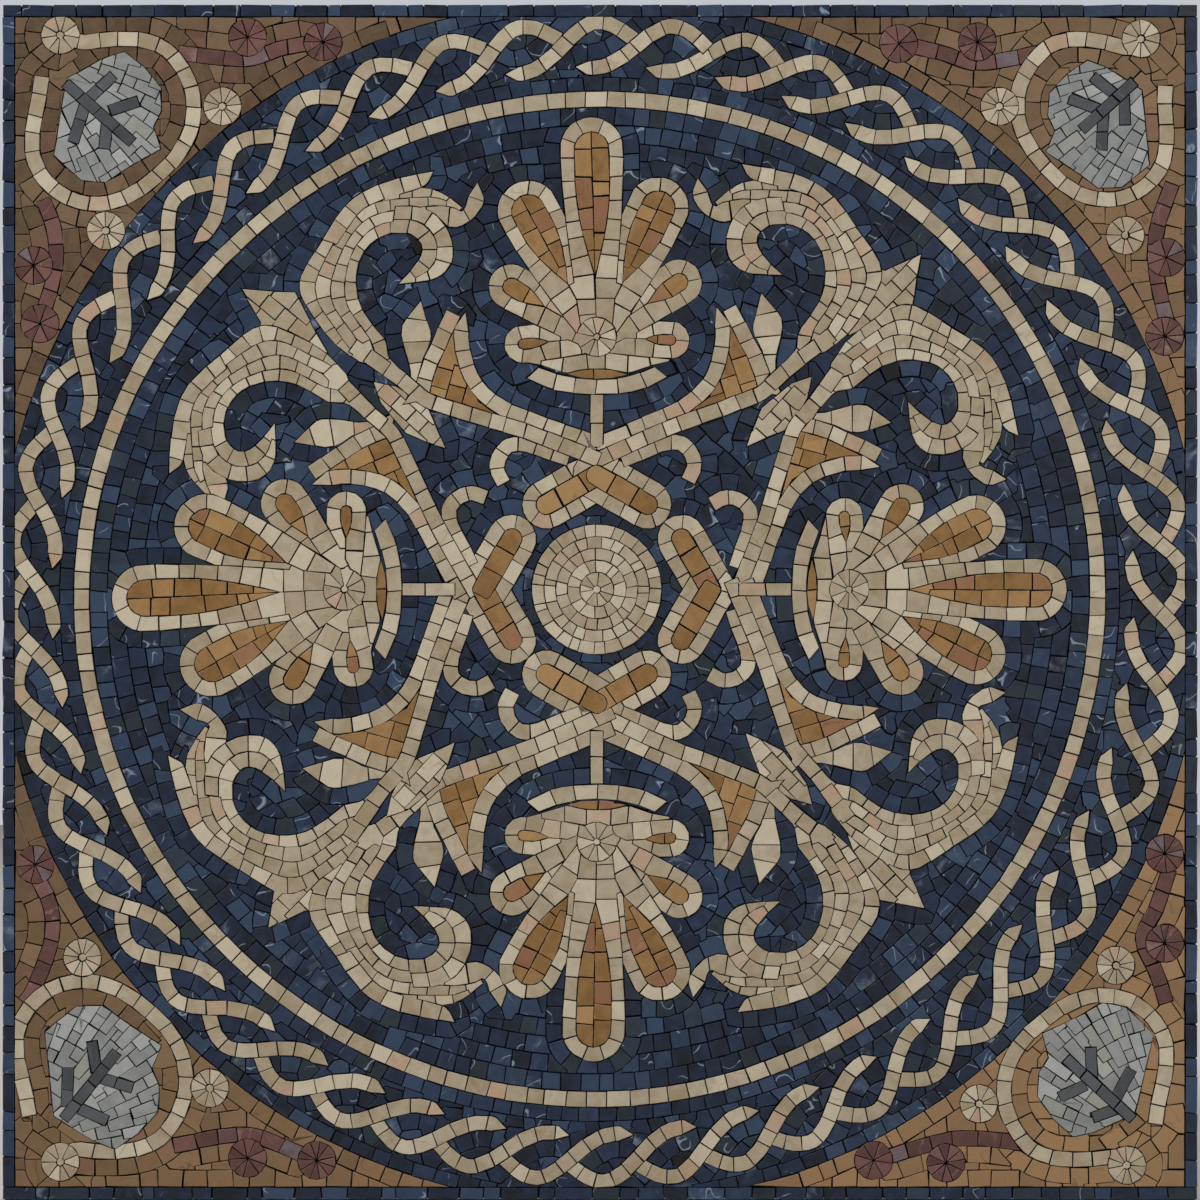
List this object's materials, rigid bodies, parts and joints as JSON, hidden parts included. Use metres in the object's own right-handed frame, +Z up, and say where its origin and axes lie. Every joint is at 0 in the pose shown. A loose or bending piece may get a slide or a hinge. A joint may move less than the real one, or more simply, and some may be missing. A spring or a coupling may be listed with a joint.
{
  "type": "mosaic panel",
  "caption": "Square marble mosaic wall panel: a round field of palmettes and leafy scrolls in a guilloche ring, with looped ribbons and leaves in ochre corners.",
  "frame": {"origin": "centre of the flat back, where the panel meets the wall", "axes": "+Y out of the back into the wall, the face looks along -Y; +Z up the panel; +X to the right seen from the front"},
  "size_m": [0.76, 0.01, 0.76],
  "materials": {
    "mesh": "glass-fibre mesh set in pale adhesive",
    "navy_marble": "blue-black marble with white veins, honed",
    "cream_marble": "cream marble, honed",
    "ochre_marble": "ochre-brown marble, honed",
    "rose_marble": "dull rose marble, honed",
    "white_marble": "white marble with grey veins, honed"
  },
  "bodies": {
    "root": {"mesh_backing": "mesh", "border_top": "navy_marble", "border_bottom": "navy_marble", "border_left": "navy_marble", "border_right": "navy_marble", "guilloche_ring": "navy_marble", "ring_line": "cream_marble", "centre_disc": "cream_marble", "knot_n": "cream_marble", "knot_e": "cream_marble", "knot_s": "cream_marble", "knot_w": "cream_marble", "palmette_n": "cream_marble", "palmette_e": "cream_marble", "palmette_s": "cream_marble", "palmette_w": "cream_marble", "scroll_ne": "cream_marble", "spearhead_ne": "cream_marble", "scroll_se": "cream_marble", "spearhead_se": "cream_marble", "scroll_sw": "cream_marble", "spearhead_sw": "cream_marble", "scroll_nw": "cream_marble", "spearhead_nw": "cream_marble", "field_ground": "navy_marble", "corner_loop_nw": "cream_marble", "corner_leaf_nw": "white_marble", "rosette_nw_1": "cream_marble", "rosette_nw_2": "cream_marble", "spray_nw_1": "rose_marble", "spray_nw_2": "rose_marble", "corner_field_nw": "ochre_marble", "corner_loop_ne": "cream_marble", "corner_leaf_ne": "white_marble", "rosette_ne_1": "cream_marble", "rosette_ne_2": "cream_marble", "spray_ne_1": "rose_marble", "spray_ne_2": "rose_marble", "corner_field_ne": "ochre_marble", "corner_loop_se": "cream_marble", "corner_leaf_se": "white_marble", "rosette_se_1": "cream_marble", "rosette_se_2": "cream_marble", "spray_se_1": "rose_marble", "spray_se_2": "rose_marble", "corner_field_se": "ochre_marble", "corner_loop_sw": "cream_marble", "corner_leaf_sw": "white_marble", "rosette_sw_1": "cream_marble", "rosette_sw_2": "cream_marble", "spray_sw_1": "rose_marble", "spray_sw_2": "rose_marble", "corner_field_sw": "ochre_marble"}
  },
  "joints": []
}
